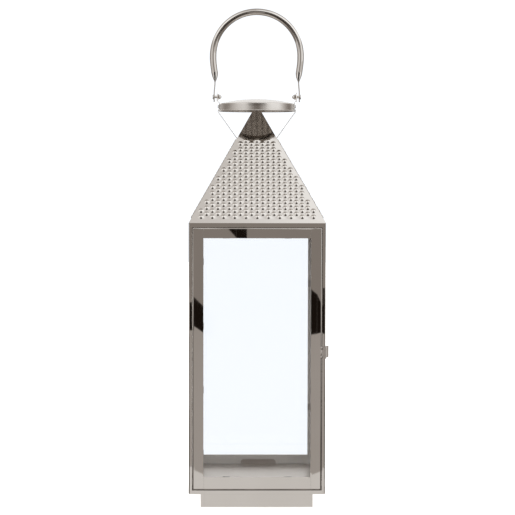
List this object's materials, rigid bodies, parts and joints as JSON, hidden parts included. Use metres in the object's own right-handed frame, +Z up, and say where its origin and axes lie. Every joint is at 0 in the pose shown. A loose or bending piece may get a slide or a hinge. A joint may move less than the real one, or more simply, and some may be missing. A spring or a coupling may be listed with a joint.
{
  "type": "candle lantern",
  "caption": "Tall square metal-and-glass candle lantern with an inset hinged door, embossed pyramid roof, round rain cap and a folding tube bail handle.",
  "frame": {"origin": "middle of the underside of the plinth, on the surface that the lantern stands on", "axes": "+Z up along the lantern's height, -Y towards the viewer through the door, +X to the viewer's right towards the hasp"},
  "size_m": [0.2055, 0.2028, 0.7383],
  "materials": {
    "polished_frame": "mirror-polished nickel-plated steel sheet with a faint warm tone and fine handling haze",
    "embossed_roof": "mirror-polished sheet pressed with staggered round bosses",
    "polished_cap": "mirror-polished spun and folded sheet",
    "polished_tube": "mirror-polished bent tube with faint draw lines",
    "bright_hardware": "bright plated small parts",
    "plain_steel": "plain unpolished steel",
    "clear_glass": "clear float glass with polished faces"
  },
  "bodies": {
    "lantern": {"plinth": "polished_frame", "plinth_rivets": "plain_steel", "base_plate": "plain_steel", "floor_pan": "polished_frame", "front_post_left": "polished_frame", "front_post_right": "polished_frame", "rear_post_left": "polished_frame", "rear_post_right": "polished_frame", "front_sill": "polished_frame", "front_header": "polished_frame", "left_lower_rail": "polished_frame", "left_upper_rail": "polished_frame", "right_lower_rail": "polished_frame", "right_upper_rail": "polished_frame", "rear_lower_rail": "polished_frame", "rear_upper_rail": "polished_frame", "door_stop_side": "plain_steel", "door_stop_top": "plain_steel", "glass_left": "clear_glass", "glass_right": "clear_glass", "glass_rear": "clear_glass", "glass_clips_left": "plain_steel", "glass_clips_right": "plain_steel", "glass_clips_rear": "plain_steel", "hinge_bracket_lower": "plain_steel", "hinge_bracket_upper": "plain_steel", "catch_bead": "bright_hardware", "roof_panel_front": "embossed_roof", "roof_panel_right": "embossed_roof", "roof_panel_rear": "embossed_roof", "roof_panel_left": "embossed_roof", "roof_rivets": "plain_steel", "apex_pyramid": "polished_cap", "apex_rivets": "plain_steel", "cap_strap": "polished_cap", "strap_rivets": "plain_steel", "rain_cap": "polished_cap", "rim_rivets": "plain_steel", "pivot_screws": "bright_hardware", "cap_nuts": "bright_hardware"},
    "door": {"door_stile_hinge": "polished_frame", "door_stile_latch": "polished_frame", "door_upper_rail": "polished_frame", "door_lower_rail": "polished_frame", "door_glass": "clear_glass", "door_glass_clips": "plain_steel", "hinge_pin_lower": "bright_hardware", "hinge_pin_upper": "bright_hardware", "hasp_knuckles": "bright_hardware", "hasp_pin": "bright_hardware"},
    "hasp": {"hasp": "bright_hardware"},
    "bail": {"bail": "polished_tube"}
  },
  "joints": [
    {"name": "door_swing", "type": "hinge", "parent": "lantern", "child": "door", "pos_m": [-0.091, -0.097, 0.2208], "axis": [0, 0, -1], "range_deg": [0, 100]},
    {"name": "hasp_swing", "type": "hinge", "parent": "door", "child": "hasp", "pos_m": [0.0942, -0.1014, 0.2309], "axis": [0, 0, -1], "range_deg": [0, 110]},
    {"name": "bail_swing", "type": "hinge", "parent": "lantern", "child": "bail", "pos_m": [0, 0, 0.6059], "axis": [1, 0, 0], "range_deg": [-148, 148]}
  ]
}
